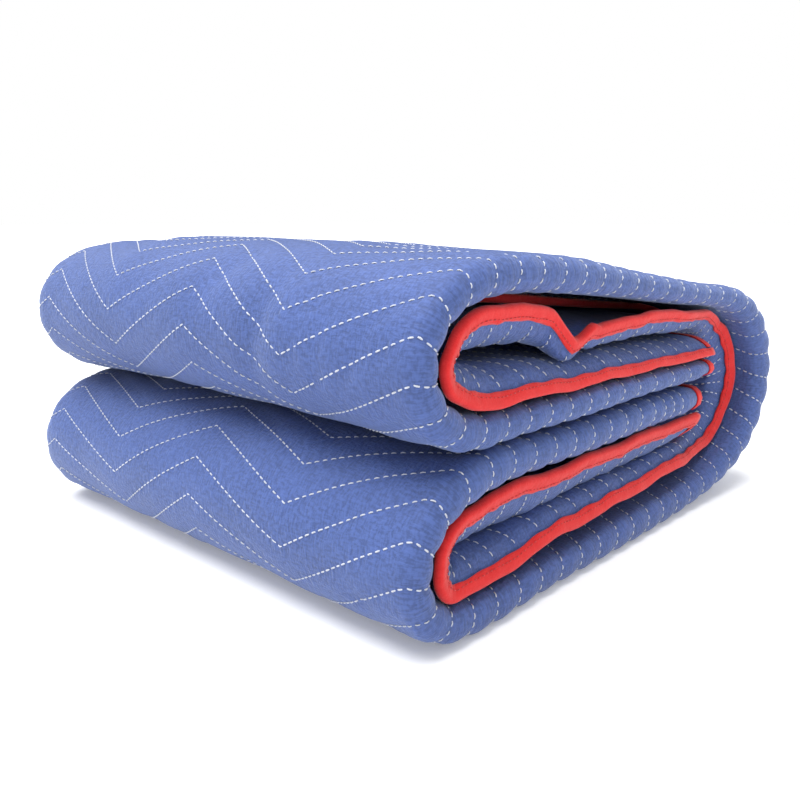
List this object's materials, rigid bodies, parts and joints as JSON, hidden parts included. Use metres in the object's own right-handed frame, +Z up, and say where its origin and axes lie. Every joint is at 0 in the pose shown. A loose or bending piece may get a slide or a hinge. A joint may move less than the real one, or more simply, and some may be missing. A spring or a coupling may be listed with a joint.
{
  "type": "folded moving blanket",
  "caption": "Quilted moving blanket with taped edges, folded in quarters both ways into a soft padded stack that lies flat and wraps furniture when opened.",
  "frame": {"origin": "centre of the underside of the folded blanket's box, on the surface that it lies on", "axes": "+Z up; +X from the two rounded lobes towards the single spine fold; +Y from the side that shows the taped edges towards the far side"},
  "size_m": [0.5574, 0.4936, 0.2476],
  "materials": {
    "pad_cloth": "woven, matt, zigzag quilted over fibre filling",
    "edge_tape": "woven tape, matt, folded over the edge and sewn"
  },
  "bodies": {
    "root": {"quilted_pad": "pad_cloth", "binding_side_1": "edge_tape", "binding_side_2": "edge_tape", "binding_end_1": "edge_tape", "binding_end_2": "edge_tape"}
  },
  "joints": []
}
